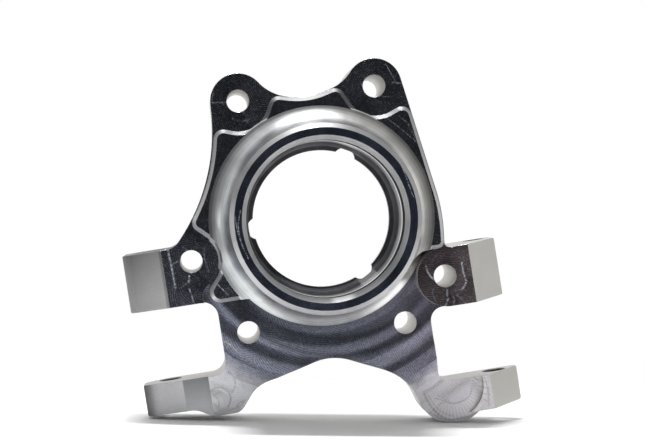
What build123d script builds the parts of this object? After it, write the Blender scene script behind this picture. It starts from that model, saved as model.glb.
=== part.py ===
"""Steering knuckle milled from one aluminium billet, in millimetres.

The hub bearing bore runs along Y with the boss face towards -Y.
+Z is up, +X is right seen from the boss face, and the origin lies on the
bore axis at the middle of the bearing seat.
Every depth below is measured backwards from the boss face.
"""
import os
from math import acos, atan2, copysign, cos, degrees, hypot, radians, sin, tan

from build123d import *

# Bearing bore
SEAT_RADIUS = 42.0
SEAT_START = 6.5
SEAT_END = 41.5
SEAT_CORNER = 2.0
LEAD_IN_RADIUS = 44.3
LEAD_IN_DEPTH = 4.0
RING_GROOVE_RADIUS = 43.6
LIP_RADIUS = 37.5
LIP_THICKNESS = 3.5
NOTCH_RADIUS = 6.0
NOTCH_OFFSET = 35.0
NOTCH_COUNT = 3
NOTCH_START = 60.0
REAR_BORE_RADIUS = 46.0
REAR_BORE_CHAMFER = 1.5

# Housing ring round the bore, with a concave foot above and below
BOSS_EDGE_RADIUS = 48.4
BOSS_CHAMFER_DEPTH = 2.45
HOUSING_RADIUS = 50.85
UPPER_COVE_RADIUS = 18.4
UPPER_COVE_START = 19.2
UPPER_COVE_SWEEP = 68.0
LOWER_COVE_RADIUS = 16.9
LOWER_COVE_START = 31.4
LOWER_COVE_SWEEP = 60.0

# Levels of the front side
ISLAND_DEPTH = 36.0
SPOT_DEPTH = 39.0
WEB_DEPTH = 46.0
ARM_DEPTH = 61.0
BACK_DEPTH = 90.0
STEP_RUN = 2.0

# Web surface: soft rings, then two slopes down to the arms
RIPPLE_START = 65.0
RIPPLE_STEP = 11.5
RIPPLE_COUNT = 3
RIPPLE_DEPTH = 0.8
LEFT_SLOPE_START = 89.6
LEFT_SLOPE_MIDDLE = 99.6
RIGHT_SLOPE_START = 100.5
RIGHT_SLOPE_MIDDLE = 110.0
SLOPE_MIDDLE_DEPTH = 52.5
SLOPE_END = 119.0

# Six flange bolt holes
BOLT_RADIUS = 6.2
UPPER_LEFT_BOLT = (-35.1, 70.7)
UPPER_RIGHT_BOLT = (39.9, 67.2)
SIDE_LEFT_BOLT = (-74.0, -12.2)
SIDE_RIGHT_BOLT = (62.1, -41.7)
LOWER_LEFT_BOLT = (-49.0, -56.0)
LOWER_RIGHT_BOLT = (37.3, -64.2)

# Ears and the sunk faces round the bolts
EAR_RADIUS = 15.2
EAR_SPOT_RADIUS = 15.8
SIDE_SPOT_RADIUS = 15.0
SIDE_PAD_CENTRE = (63.2, -42.2)
SIDE_PAD_RADIUS = 16.4
SPOT_BLEND = 5.0

# Left fork: upper tab and lower arm
LEFT_TAB_TOP = -3.7
LEFT_TAB_BOTTOM = -35.6
LEFT_TAB_END = -111.5
LEFT_ARM_TOP = -77.9
LEFT_ARM_BOTTOM = -95.5
LEFT_ARM_END = -112.0
LEFT_CREASE = -89.6
LEFT_FACE_SLOPE = 15.0
LEFT_GAP_WALL = -64.0
LEFT_GAP_RADIUS = 8.6
LEFT_ARM_ROOT = -75.0
LEFT_BOLT_X = -96.6

# Right fork: upper tab and lower arm
RIGHT_TAB_TOP = -26.4
RIGHT_TAB_BOTTOM = -58.6
RIGHT_TAB_END = 96.3
RIGHT_TAB_CREASE = 77.0
RIGHT_TAB_SLOPE = 57.0
RIGHT_ARM_TOP = -101.5
RIGHT_ARM_BOTTOM = -120.8
RIGHT_ARM_END = 100.3
RIGHT_ARM_CREASE = 81.0
RIGHT_ARM_TIP = 3.85
RIGHT_GAP_WALL = 51.4
RIGHT_GAP_RADIUS = 7.5
RIGHT_BOLT_X = 86.2

# Rounded vertical edges at the ends of the tabs and arms
LEFT_TAB_FRONT_ROUND = 6.0
LEFT_TAB_REAR_ROUND = 9.0
LEFT_ARM_FRONT_ROUND = 4.0
LEFT_ARM_REAR_ROUND = 12.0
RIGHT_FRONT_ROUND = 1.0
RIGHT_REAR_ROUND = 1.5

# Fork bolts run along Z through tab and arm
FORK_BOLT_RADIUS = 6.2
FORK_BOLT_WALL = 3.3
FORK_BOLT_CHAMFER = 0.5

# Legs that carry the lower arms
LOBE_CENTRE = (59.9, -104.9)
LOBE_RADIUS = 21.0
LOBE_CORNER_SPAN = 58.0
LOBE_CORNER_GAP = 0.4
LOBE_TOP_CENTRE = (58.2, -104.4)
LOBE_TOP_RADIUS = 10.5
LOBE_TOP_DEPTH = 61.8
LOBE_BAND_RADIUS = 18.6
LOBE_BAND_DEPTH = 63.4
LOBE_EDGE_RADIUS = 24.0
LOBE_EDGE_DEPTH = 68.0
LOBE_EDGE_END = 66.5
LOBE_CHORD_OFFSET = 3.5
LOBE_CHORD_ANGLE = 31.0
LEFT_LEG_BOTTOM = -100.9
BULGE_CENTRE = (-70.3, -90.2)
BULGE_BALL = 15.0
BULGE_DEPTH = 57.0
LEG_BEVEL = 2.7
LEG_BEVEL_RIGHT = -54.0

SEAT_MIDDLE = (SEAT_START + SEAT_END) / 2
STEP_ANGLE = degrees(atan2(STEP_RUN, SPOT_DEPTH - ISLAND_DEPTH))
CUT_FAR = 170.0
CUT_FAR_LEFT = -130.0
CUT_MARGIN = 3.0
WEB_POCKET = (-62.3, -33.6)
WEB_POCKET_RADIUS = 8.5
FLANGE_BOLTS = [
    UPPER_LEFT_BOLT,
    UPPER_RIGHT_BOLT,
    SIDE_LEFT_BOLT,
    SIDE_RIGHT_BOLT,
    LOWER_LEFT_BOLT,
    LOWER_RIGHT_BOLT,
]
FORK_BOLT_DEPTH = BACK_DEPTH - FORK_BOLT_WALL - FORK_BOLT_RADIUS
FORK_BOLTS = [
    (LEFT_BOLT_X, LEFT_TAB_TOP, LEFT_TAB_BOTTOM, LEFT_TAB_BOTTOM, 1),
    (LEFT_BOLT_X, LEFT_ARM_TOP, LEFT_ARM_BOTTOM, LEFT_ARM_TOP, -1),
    (RIGHT_BOLT_X, RIGHT_TAB_TOP, RIGHT_TAB_BOTTOM, RIGHT_TAB_BOTTOM, 1),
    (RIGHT_BOLT_X, RIGHT_ARM_TOP, RIGHT_ARM_BOTTOM, RIGHT_ARM_TOP, -1),
]

CUT_REACH = 60.0

LEFT_TAB_DROP = (LEFT_CREASE - LEFT_TAB_END) * tan(radians(LEFT_FACE_SLOPE))
LEFT_ARM_DROP = (LEFT_CREASE - LEFT_ARM_END) * tan(radians(LEFT_FACE_SLOPE))
RIGHT_TAB_DROP = (RIGHT_TAB_END - RIGHT_TAB_CREASE) * tan(radians(RIGHT_TAB_SLOPE))

# Crease and its depth, end and its depth of the sloped front faces
TAB_AND_ARM_FRONTS = [
    (LEFT_CREASE, SPOT_DEPTH, LEFT_TAB_END, SPOT_DEPTH + LEFT_TAB_DROP),
    (LEFT_CREASE, ARM_DEPTH, LEFT_ARM_END, ARM_DEPTH + LEFT_ARM_DROP),
    (RIGHT_TAB_CREASE, SPOT_DEPTH, RIGHT_TAB_END, SPOT_DEPTH + RIGHT_TAB_DROP),
    (RIGHT_ARM_CREASE, ARM_DEPTH, RIGHT_ARM_END, BACK_DEPTH - RIGHT_ARM_TIP),
]

# Front round, rear round, top and bottom of the same four
TAB_AND_ARM_ENDS = [
    (LEFT_TAB_FRONT_ROUND, LEFT_TAB_REAR_ROUND, LEFT_TAB_TOP, LEFT_TAB_BOTTOM),
    (LEFT_ARM_FRONT_ROUND, LEFT_ARM_REAR_ROUND, LEFT_ARM_TOP, LEFT_ARM_BOTTOM),
    (RIGHT_FRONT_ROUND, RIGHT_REAR_ROUND, RIGHT_TAB_TOP, RIGHT_TAB_BOTTOM),
    (RIGHT_FRONT_ROUND, RIGHT_REAR_ROUND, RIGHT_ARM_TOP, RIGHT_ARM_BOTTOM),
]

# Start and middle radius of each leg's slope, and its side
LEG_SLOPES = [
    (LEFT_SLOPE_START, LEFT_SLOPE_MIDDLE, -1),
    (RIGHT_SLOPE_START, RIGHT_SLOPE_MIDDLE, 1),
]
LOBE_CORNER = LOBE_RADIUS / cos(radians(LOBE_CORNER_SPAN / 2))
LOBE_ROUND = LOBE_RADIUS - LOBE_CORNER_GAP


def facing(depth):
    """Plane that faces the front, at a depth behind the boss face."""
    return Plane.XZ.offset(SEAT_MIDDLE - depth)


def back_to(depth):
    """Y value of a depth behind the boss face."""
    return depth - SEAT_MIDDLE


def on_circle(centre, radius, angle):
    """Point of a circle at an angle in degrees."""
    x, z = centre
    return (x + radius * cos(radians(angle)), z + radius * sin(radians(angle)))


def rounded_outline(corners):
    """Close a line through corners (x, z, radius), each one rounded."""
    pieces = []
    count = len(corners)
    for number, (x, z, radius) in enumerate(corners):
        if radius == 0:
            pieces.append([(x, z)])
            continue
        before = corners[number - 1]
        after = corners[(number + 1) % count]
        back = Vector(before[0] - x, before[1] - z).normalized()
        ahead = Vector(after[0] - x, after[1] - z).normalized()
        middle = back + ahead
        half_angle = acos(middle.length / 2)
        reach = radius / tan(half_angle)
        rise = radius / sin(half_angle) - radius
        corner = Vector(x, z)
        first = corner + back * reach
        peak = corner + middle.normalized() * rise
        last = corner + ahead * reach
        pieces.append([(point.X, point.Y) for point in (first, peak, last)])
    for number, piece in enumerate(pieces):
        following = pieces[(number + 1) % count]
        if len(piece) == 3:
            ThreePointArc(*piece)
        if hypot(following[0][0] - piece[-1][0], following[0][1] - piece[-1][1]) > 0.001:
            Line(piece[-1], following[0])


def cove_point(cove_radius, start_depth, sweep):
    """Radius and depth on a concave foot of the housing, after a sweep."""
    radius = HOUSING_RADIUS + cove_radius * (1 - cos(radians(sweep)))
    return (radius, start_depth + cove_radius * sin(radians(sweep)))


LOWER_FOOT = cove_point(LOWER_COVE_RADIUS, LOWER_COVE_START, LOWER_COVE_SWEEP)


def web_profile():
    """Radius and depth of points along the web's soft rings."""
    points = [LOWER_FOOT]
    for number in range(2 * RIPPLE_COUNT):
        radius = RIPPLE_START + number * RIPPLE_STEP / 2
        depth = WEB_DEPTH + (RIPPLE_DEPTH if number % 2 == 0 else 0)
        points.append((radius, depth))
    return points


# Plan outline of the billet, anticlockwise from the upper left ear
LEFT_SIDE = [
    (*on_circle(UPPER_LEFT_BOLT, EAR_RADIUS, 177.5), 0),
    (-52.1, 28.9, 107.0),
    (-82.3, LEFT_TAB_TOP, 9.0),
    (LEFT_TAB_END, LEFT_TAB_TOP, 1.0),
    (LEFT_TAB_END, LEFT_TAB_BOTTOM, 1.0),
    (LEFT_GAP_WALL, LEFT_TAB_BOTTOM, LEFT_GAP_RADIUS),
    (LEFT_GAP_WALL, LEFT_ARM_TOP, LEFT_GAP_RADIUS),
    (LEFT_ARM_END, LEFT_ARM_TOP, 1.0),
    (LEFT_ARM_END, LEFT_ARM_BOTTOM, 1.0),
]
BOTTOM_SIDE = [
    (-84.5, LEFT_ARM_BOTTOM, 12.0),
    (-74.4, LEFT_LEG_BOTTOM, 8.0),
    (-60.0, LEFT_LEG_BOTTOM, 6.0),
    (-48.8, -86.3, 20.0),
    (-5.5, -75.4, 30.0),
    (35.4, -94.5, 33.5),
    (*on_circle(LOBE_CENTRE, LOBE_CORNER, 224.0), LOBE_ROUND),
    (*on_circle(LOBE_CENTRE, LOBE_CORNER, 281.8), LOBE_ROUND),
    (*on_circle(LOBE_CENTRE, LOBE_RADIUS, 310.8), 0),
]
RIGHT_SIDE = [
    (RIGHT_ARM_END, RIGHT_ARM_BOTTOM, 1.7),
    (RIGHT_ARM_END, RIGHT_ARM_TOP, 1.0),
    (RIGHT_GAP_WALL, RIGHT_ARM_TOP, RIGHT_GAP_RADIUS),
    (RIGHT_GAP_WALL, RIGHT_TAB_BOTTOM, RIGHT_GAP_RADIUS),
    (RIGHT_TAB_END, RIGHT_TAB_BOTTOM, 1.0),
    (RIGHT_TAB_END, RIGHT_TAB_TOP, 1.0),
    (64.3, RIGHT_TAB_TOP, 2.7),
    (66.4, -6.3, 90.0),
    (*on_circle(UPPER_RIGHT_BOLT, EAR_RADIUS, 8.7), 0),
    (*UPPER_RIGHT_BOLT, 0),
]
SADDLE_SIDE = [
    (*on_circle(UPPER_RIGHT_BOLT, EAR_RADIUS, 139.1), 0),
    (23.5, 71.4, 24.0),
    (2.9, 65.9, 40.0),
    (-17.1, 71.3, 25.5),
    (*on_circle(UPPER_LEFT_BOLT, EAR_RADIUS, 34.5), 0),
    (*UPPER_LEFT_BOLT, 0),
]
OUTLINE = LEFT_SIDE + BOTTOM_SIDE + RIGHT_SIDE + SADDLE_SIDE

# Foot of the raised island, anticlockwise from its upper left tip
ISLAND = [
    (-50.2, 58.3, 5.5),
    (-57.1, 28.2, 103.0),
    (-71.9, 7.5, 5.0),
    (-51.6, -11.8, 16.0),
    (-73.9, -37.0, 6.0),
    (-46.0, -37.0, 8.0),
    (-17.4, -47.6, 0),
    (29.2, -41.5, 0),
    (50.8, -26.2, 8.0),
    (64.2, -26.2, 4.0),
    (66.1, -6.3, 90.0),
    (56.8, 55.8, 5.5),
    (32.0, 46.2, 16.8),
    (20.6, 70.3, 5.5),
    (2.9, 65.6, 40.0),
    (-16.2, 70.8, 5.5),
    (-27.1, 49.9, 16.3),
]

# Area in which the web is milled down
WEB_AREA = [
    (-90.0, -37.3, 0),
    (-60.0, -37.3, 0),
    (-60.0, -30.0, 0),
    (-20.0, -30.0, 0),
    (20.0, -20.0, 0),
    (58.0, -20.0, 0),
    (58.0, -55.0, 0),
    (64.5, RIGHT_TAB_BOTTOM, 0),
    (130.0, RIGHT_TAB_BOTTOM, 0),
    (130.0, -140.0, 0),
    (-130.0, -140.0, 0),
    (-130.0, -60.0, 0),
    (-90.0, -60.0, 0),
]

# Cutter for the web, with the lower concave foot of the housing
with BuildPart() as web_cut:
    with BuildSketch(facing(BACK_DEPTH)):
        with BuildLine():
            rounded_outline(WEB_AREA)
        make_face()
        with Locations(WEB_POCKET):
            Circle(WEB_POCKET_RADIUS)
        with BuildLine():
            rounded_outline(ISLAND)
        make_face(mode=Mode.SUBTRACT)
        with Locations(SIDE_PAD_CENTRE):
            Circle(SIDE_PAD_RADIUS, mode=Mode.SUBTRACT)
    extrude(amount=BACK_DEPTH)
    with BuildSketch(Plane.XY):
        with BuildLine():
            foot_radius, foot_depth = LOWER_FOOT
            half_radius, half_depth = cove_point(
                LOWER_COVE_RADIUS, LOWER_COVE_START, LOWER_COVE_SWEEP / 2
            )
            Polyline(
                (CUT_FAR, back_to(WEB_DEPTH)),
                (CUT_FAR, back_to(-CUT_MARGIN)),
                (HOUSING_RADIUS, back_to(-CUT_MARGIN)),
                (HOUSING_RADIUS, back_to(LOWER_COVE_START)),
            )
            ThreePointArc(
                (HOUSING_RADIUS, back_to(LOWER_COVE_START)),
                (half_radius, back_to(half_depth)),
                (foot_radius, back_to(foot_depth)),
            )
            points = [(radius, back_to(depth)) for radius, depth in web_profile()]
            Spline(*points)
            Line(points[-1], (CUT_FAR, back_to(WEB_DEPTH)))
        make_face()
    revolve(axis=Axis.Y, mode=Mode.INTERSECT)

# Cutters for the slopes from the web down to the arms, one on each side
slope_cuts = []
for start, middle, side in LEG_SLOPES:
    with BuildPart() as slope_cut:
        with BuildSketch(facing(BACK_DEPTH)):
            with BuildLine():
                rounded_outline(WEB_AREA)
            make_face()
            with Locations((side * CUT_FAR / 2, 0)):
                Rectangle(CUT_FAR, 2 * CUT_FAR, mode=Mode.INTERSECT)
        extrude(amount=BACK_DEPTH)
        with BuildSketch(Plane.XY):
            with BuildLine():
                Polyline(
                    (start, back_to(WEB_DEPTH)),
                    (middle, back_to(SLOPE_MIDDLE_DEPTH)),
                    (SLOPE_END, back_to(ARM_DEPTH)),
                    (CUT_FAR, back_to(ARM_DEPTH)),
                    (CUT_FAR, back_to(ISLAND_DEPTH)),
                    (start, back_to(ISLAND_DEPTH)),
                    (start, back_to(WEB_DEPTH)),
                )
            make_face()
        revolve(axis=Axis.Y, mode=Mode.INTERSECT)
        with Locations((BULGE_CENTRE[0], back_to(BULGE_DEPTH + BULGE_BALL), BULGE_CENTRE[1])):
            Sphere(BULGE_BALL, mode=Mode.SUBTRACT)
    slope_cuts.append(slope_cut.part)

# Cutters for the front of the right leg's lobe: its band, then its free edge
LOBE_AXIS = Axis((LOBE_TOP_CENTRE[0], 0, LOBE_TOP_CENTRE[1]), (0, 1, 0))
LOBE_RINGS = [
    (0, LOBE_TOP_DEPTH, LOBE_TOP_RADIUS, LOBE_TOP_DEPTH, CUT_FAR),
    (LOBE_TOP_RADIUS, LOBE_TOP_DEPTH, LOBE_BAND_RADIUS, LOBE_BAND_DEPTH, CUT_FAR),
    (LOBE_BAND_RADIUS, LOBE_BAND_DEPTH, LOBE_EDGE_RADIUS, LOBE_EDGE_DEPTH, LOBE_EDGE_END),
]
lobe_cuts = []
for inner, inner_depth, outer, outer_depth, far_side in LOBE_RINGS:
    with BuildPart() as lobe_cut:
        with BuildSketch(Plane.XY.offset(LOBE_TOP_CENTRE[1])):
            with BuildLine():
                Polyline(
                    (LOBE_TOP_CENTRE[0] + inner, back_to(inner_depth)),
                    (LOBE_TOP_CENTRE[0] + outer, back_to(outer_depth)),
                    (LOBE_TOP_CENTRE[0] + outer, back_to(WEB_DEPTH)),
                    (LOBE_TOP_CENTRE[0] + inner, back_to(WEB_DEPTH)),
                    (LOBE_TOP_CENTRE[0] + inner, back_to(inner_depth)),
                )
            make_face()
        revolve(axis=LOBE_AXIS)
        with BuildSketch(facing(BACK_DEPTH)):
            with Locations((far_side, LOBE_TOP_CENTRE[1])):
                Rectangle(CUT_FAR, CUT_FAR, align=(Align.MAX, Align.CENTER))
            with Locations((LOBE_TOP_CENTRE[0], RIGHT_ARM_BOTTOM)):
                Rectangle(CUT_FAR, CUT_FAR, align=(Align.CENTER, Align.MAX))
            chord_middle = on_circle(LOBE_TOP_CENTRE, LOBE_CHORD_OFFSET, LOBE_CHORD_ANGLE - 90)
            with Locations(Location((*chord_middle, 0), (0, 0, 1), LOBE_CHORD_ANGLE)):
                Rectangle(2 * CUT_FAR, CUT_FAR, align=(Align.CENTER, Align.MAX), mode=Mode.INTERSECT)
        extrude(amount=BACK_DEPTH, mode=Mode.INTERSECT)
    lobe_cuts.append(lobe_cut.part)

with BuildPart() as knuckle:
    # Billet with the flat level of the bolt faces
    with BuildSketch(facing(BACK_DEPTH)):
        with BuildLine():
            rounded_outline(OUTLINE)
        make_face()
        with Locations(UPPER_LEFT_BOLT, UPPER_RIGHT_BOLT):
            Circle(EAR_RADIUS)
    extrude(amount=BACK_DEPTH - SPOT_DEPTH)

    # Raised island with a sloped step round it
    with BuildSketch(facing(SPOT_DEPTH)):
        with BuildLine():
            rounded_outline(ISLAND)
        make_face()
    extrude(
        amount=SPOT_DEPTH - ISLAND_DEPTH,
        taper=STEP_ANGLE,
    )

    # Housing ring with its upper concave foot
    with BuildSketch(Plane.XY):
        with BuildLine():
            foot_radius, foot_depth = cove_point(
                UPPER_COVE_RADIUS, UPPER_COVE_START, UPPER_COVE_SWEEP
            )
            half_radius, half_depth = cove_point(
                UPPER_COVE_RADIUS, UPPER_COVE_START, UPPER_COVE_SWEEP / 2
            )
            Polyline(
                (0, back_to(WEB_DEPTH)),
                (0, back_to(0)),
                (BOSS_EDGE_RADIUS, back_to(0)),
                (HOUSING_RADIUS, back_to(BOSS_CHAMFER_DEPTH)),
                (HOUSING_RADIUS, back_to(UPPER_COVE_START)),
            )
            ThreePointArc(
                (HOUSING_RADIUS, back_to(UPPER_COVE_START)),
                (half_radius, back_to(half_depth)),
                (foot_radius, back_to(foot_depth)),
            )
            Polyline(
                (foot_radius, back_to(foot_depth)),
                (foot_radius, back_to(WEB_DEPTH)),
                (0, back_to(WEB_DEPTH)),
            )
        make_face()
    revolve(axis=Axis.Y)

    # The side bolt faces run into the foot of the housing
    with BuildSketch(facing(SPOT_DEPTH)):
        with Locations(SIDE_LEFT_BOLT):
            Circle(SIDE_SPOT_RADIUS)
    extrude(amount=SPOT_DEPTH - ISLAND_DEPTH, taper=-STEP_ANGLE, mode=Mode.SUBTRACT)
    with BuildSketch(facing(ISLAND_DEPTH)):
        with Locations(SIDE_LEFT_BOLT):
            Circle(SIDE_SPOT_RADIUS + STEP_RUN)
    extrude(amount=ISLAND_DEPTH - UPPER_COVE_START, mode=Mode.SUBTRACT)
    with BuildSketch(facing(SPOT_DEPTH)):
        with Locations(SIDE_PAD_CENTRE):
            Circle(SIDE_PAD_RADIUS)
    extrude(amount=SPOT_DEPTH - UPPER_COVE_START, mode=Mode.SUBTRACT)

    # Web round the lower half of the housing, slopes and lobe
    for cutter in [web_cut.part, *slope_cuts, *lobe_cuts]:
        add(cutter, mode=Mode.SUBTRACT)

    # Left arm front and its root
    with BuildSketch(facing(ARM_DEPTH)):
        with Locations(((LEFT_ARM_ROOT + CUT_FAR_LEFT) / 2, (LEFT_ARM_TOP + LEFT_LEG_BOTTOM) / 2)):
            arm_room = LEFT_ARM_TOP - LEFT_LEG_BOTTOM + 2 * CUT_MARGIN
            Rectangle(LEFT_ARM_ROOT - CUT_FAR_LEFT, arm_room)
    extrude(amount=CUT_REACH, mode=Mode.SUBTRACT)

    # Bevel under the left leg
    with BuildSketch(Plane.YZ.offset(LEFT_ARM_ROOT)):
        with BuildLine():
            Polyline(
                (back_to(ARM_DEPTH), LEFT_LEG_BOTTOM + LEG_BEVEL),
                (back_to(ARM_DEPTH + LEG_BEVEL + CUT_MARGIN), LEFT_LEG_BOTTOM - CUT_MARGIN),
                (back_to(WEB_DEPTH), LEFT_LEG_BOTTOM - CUT_MARGIN),
                (back_to(WEB_DEPTH), LEFT_LEG_BOTTOM + LEG_BEVEL),
                (back_to(ARM_DEPTH), LEFT_LEG_BOTTOM + LEG_BEVEL),
            )
        make_face()
    extrude(amount=LEG_BEVEL_RIGHT - LEFT_ARM_ROOT, mode=Mode.SUBTRACT)

    # Sloped front faces and rounded ends of the tabs and arms
    for front, ends in zip(TAB_AND_ARM_FRONTS, TAB_AND_ARM_ENDS):
        crease, crease_depth, end, end_depth = front
        front_round, rear_round, top, bottom = ends
        rear_round = min(rear_round, BACK_DEPTH - end_depth - front_round)
        outside = copysign(CUT_REACH, end)
        inner_end = end - copysign(rear_round + CUT_MARGIN, end)
        with BuildSketch(Plane.XY.offset(top + CUT_MARGIN)):
            with BuildLine():
                rounded_outline(
                    [
                        (crease, back_to(crease_depth), 0),
                        (end, back_to(end_depth), front_round),
                        (end, back_to(BACK_DEPTH), rear_round),
                        (inner_end, back_to(BACK_DEPTH), 0),
                        (inner_end, back_to(BACK_DEPTH + CUT_MARGIN), 0),
                        (end + outside, back_to(BACK_DEPTH + CUT_MARGIN), 0),
                        (end + outside, back_to(crease_depth - CUT_REACH), 0),
                        (crease, back_to(crease_depth - CUT_REACH), 0),
                    ]
                )
            make_face()
        extrude(amount=bottom - top - 2 * CUT_MARGIN, mode=Mode.SUBTRACT)

    # Bearing bore with lead-in, ring groove, lip and rear relief
    with BuildSketch(Plane.XY):
        with BuildLine():
            Polyline(
                (0, back_to(0)),
                (LEAD_IN_RADIUS, back_to(0)),
                (SEAT_RADIUS, back_to(LEAD_IN_DEPTH)),
                (RING_GROOVE_RADIUS, back_to(LEAD_IN_DEPTH)),
                (RING_GROOVE_RADIUS, back_to(SEAT_START)),
                (SEAT_RADIUS, back_to(SEAT_START)),
                (SEAT_RADIUS, back_to(SEAT_END - SEAT_CORNER)),
                (SEAT_RADIUS - SEAT_CORNER, back_to(SEAT_END)),
                (LIP_RADIUS, back_to(SEAT_END)),
                (LIP_RADIUS, back_to(SEAT_END + LIP_THICKNESS)),
                (REAR_BORE_RADIUS, back_to(SEAT_END + LIP_THICKNESS)),
                (REAR_BORE_RADIUS, back_to(BACK_DEPTH - REAR_BORE_CHAMFER)),
                (REAR_BORE_RADIUS + REAR_BORE_CHAMFER, back_to(BACK_DEPTH)),
                (0, back_to(BACK_DEPTH)),
                (0, back_to(0)),
            )
        make_face()
    revolve(axis=Axis.Y, mode=Mode.SUBTRACT)

    # Three notches in the lip
    with BuildSketch(facing(SEAT_END + LIP_THICKNESS)):
        with PolarLocations(NOTCH_OFFSET, NOTCH_COUNT, start_angle=NOTCH_START):
            Circle(NOTCH_RADIUS)
    extrude(amount=LIP_THICKNESS, mode=Mode.SUBTRACT)

    # Flange bolt holes
    with BuildSketch(facing(BACK_DEPTH)):
        with Locations(*FLANGE_BOLTS):
            Circle(BOLT_RADIUS)
    extrude(amount=BACK_DEPTH, mode=Mode.SUBTRACT)

    # Fork bolt holes, with a chamfered mouth where they leave the tab or arm for the gap
    for x, top, bottom, gap_side, inwards in FORK_BOLTS:
        with BuildSketch(Plane.XY.offset(top)):
            with Locations((x, back_to(FORK_BOLT_DEPTH))):
                Circle(FORK_BOLT_RADIUS)
        extrude(amount=bottom - top, mode=Mode.SUBTRACT)
        with BuildSketch(Plane.XY.offset(gap_side)):
            with Locations((x, back_to(FORK_BOLT_DEPTH))):
                Circle(FORK_BOLT_RADIUS + FORK_BOLT_CHAMFER)
        extrude(amount=inwards * FORK_BOLT_CHAMFER, taper=45, mode=Mode.SUBTRACT)

os.makedirs("parts", exist_ok=True)
knuckle.part.label = "steering_knuckle"
export_step(knuckle.part, "parts/steering_knuckle.step")
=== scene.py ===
"""Looks of the steering knuckle: machined aluminium on a white studio floor."""

import math

import bpy
from mathutils import Matrix, Vector

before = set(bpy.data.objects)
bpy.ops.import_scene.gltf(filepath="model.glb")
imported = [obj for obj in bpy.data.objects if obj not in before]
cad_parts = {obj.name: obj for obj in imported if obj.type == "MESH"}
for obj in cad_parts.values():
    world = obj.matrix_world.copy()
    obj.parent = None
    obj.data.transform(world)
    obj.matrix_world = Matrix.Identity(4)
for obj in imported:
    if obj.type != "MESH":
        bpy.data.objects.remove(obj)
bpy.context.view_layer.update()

# Image size, lens length and the foot of the lens axis in pixels, and film width in millimetres
IMAGE_WIDTH = 645.0
IMAGE_HEIGHT = 448.0
LENS_PIXELS = 1800.0
AXIS_X = 202.6
AXIS_Y = 204.2
FILM_WIDTH = 36.0

# Camera, floor and lamps: places and sizes in metres, rolls in degrees, powers in watts
CAMERA_PLACE = (-0.06298, -0.971, 0.01787)
CAMERA_ROLL = 9.0
FLOOR_PLACE = (-0.02, 0.03, -0.1125)
FLOOR_ROLL = 9.6
FLOOR_SIZE = (0.62, 0.5)
LAMP_SIZE = (0.5, 0.16)
LAMP_HEIGHT = 2.0
LAMP_LEFT = 0.2
LAMP_FORWARD = 0.06
LAMP_POWER = 33.0
GLINT_PLACE = (-0.7, 0.0, 0.10)
GLINT_RADIUS = 0.012
GLINT_POWER = 0.4

# Levels along Y in millimetres, from the middle of the bearing seat
BOSS = -24.0
CHAMFER_BACK = -21.4
LEAD_IN = -20.0
SEAT_START = -17.5
LIP_FACE = 17.5
LIP_BACK = 21.0
ISLAND = 12.0
SPOT = 15.0
WEB = 22.0
ARM = 37.0
BACK = 66.0

# Radii about the bore where one finish meets the next, in millimetres
BORE_EDGE = 47.6
CHAMFER_EDGE = 51.2
UPPER_FOOT = 63.5
LOWER_FOOT = 59.35

# Places along X where one finish meets the next, in millimetres
LEFT_PAD_EDGE = -89.0
LEFT_ARM_ROOT = -75.0
TAB_TOP_EDGE = -70.0
LEFT_TAB_EDGE = -50.0
RIGHT_TAB_EDGE = 45.0
RIGHT_PAD_EDGE = 76.9

# Places along Z where one finish meets the next, in millimetres
TAB_TO_ARM = -40.0
TAB_TOP_LOW = -10.0
TAB_TOP_HIGH = 12.0
LEFT_TAB_LEVEL = 10.0
RIGHT_TAB_LEVEL = 0.0
WEB_TOP = -10.0

# How near a face has to lie to a level, in millimetres
CLOSE = 0.1

# Which way a face looks: 1 is straight forward or up, 0 is across and -1 is straight back
FORWARD = 0.99
UPWARD = 0.85
ACROSS = 0.8
BACKWARD = -0.9

# Bolt hole centres and how far their walls reach, in millimetres: X and Z, or X and the level along Y
FLANGE_BOLTS = [
    (-35.1, 70.7),
    (39.9, 67.2),
    (-74.0, -12.2),
    (62.1, -41.7),
    (-49.0, -56.0),
    (37.3, -64.2),
]
FORK_BOLTS = [-96.6, 86.2]
FORK_BOLT_LEVEL = 56.5
FLANGE_BOLT_REACH = 6.35
FORK_BOLT_REACH = 6.8

# Middles of the lobe, of the painted highlight on the lip and of the painted glint on the lead-in, in
# millimetres
LOBE = (58.2, 0.0, -104.4)
LIP_HIGHLIGHT = (20.3, 0.0, -35.8)
LEAD_GLINT_X = 2.5

# Side of the lobe that has scallops, scallops in its full turn, and feed lines in a full turn of the web
LOBE_SIDE = (0.515, 0.0, -0.857)
SCALLOPS = 52.0
FEED_LINES = 500.0

# Tints of the marks (scratches with painted highlights), of the golden scratch, of the painted highlight
# on the lip and of the pale legs; grey of the edges, worn and painted highlit; grey and depth of the cuts
# and painted shade strokes, and how much metal shine a mark takes away
SCRATCH_AND_HIGHLIGHT_TINT = (0.86, 0.90, 1.0, 1.0)
GOLDEN_TINT = (0.85, 0.72, 0.5, 1.0)
LIP_HIGHLIGHT_TINT = (0.85, 0.88, 1.0, 1.0)
PALE_TINT = (1.0, 0.985, 0.98, 1.0)
WORN_AND_HIGHLIT_GREY = 0.85
CUT_AND_SHADE_GREY = 0.25
CUT_DEPTH = 2.5
MARK_DULLING = 0.8

# How far the light sees the edges rounded, in metres
ROUNDING = 0.00035


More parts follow.
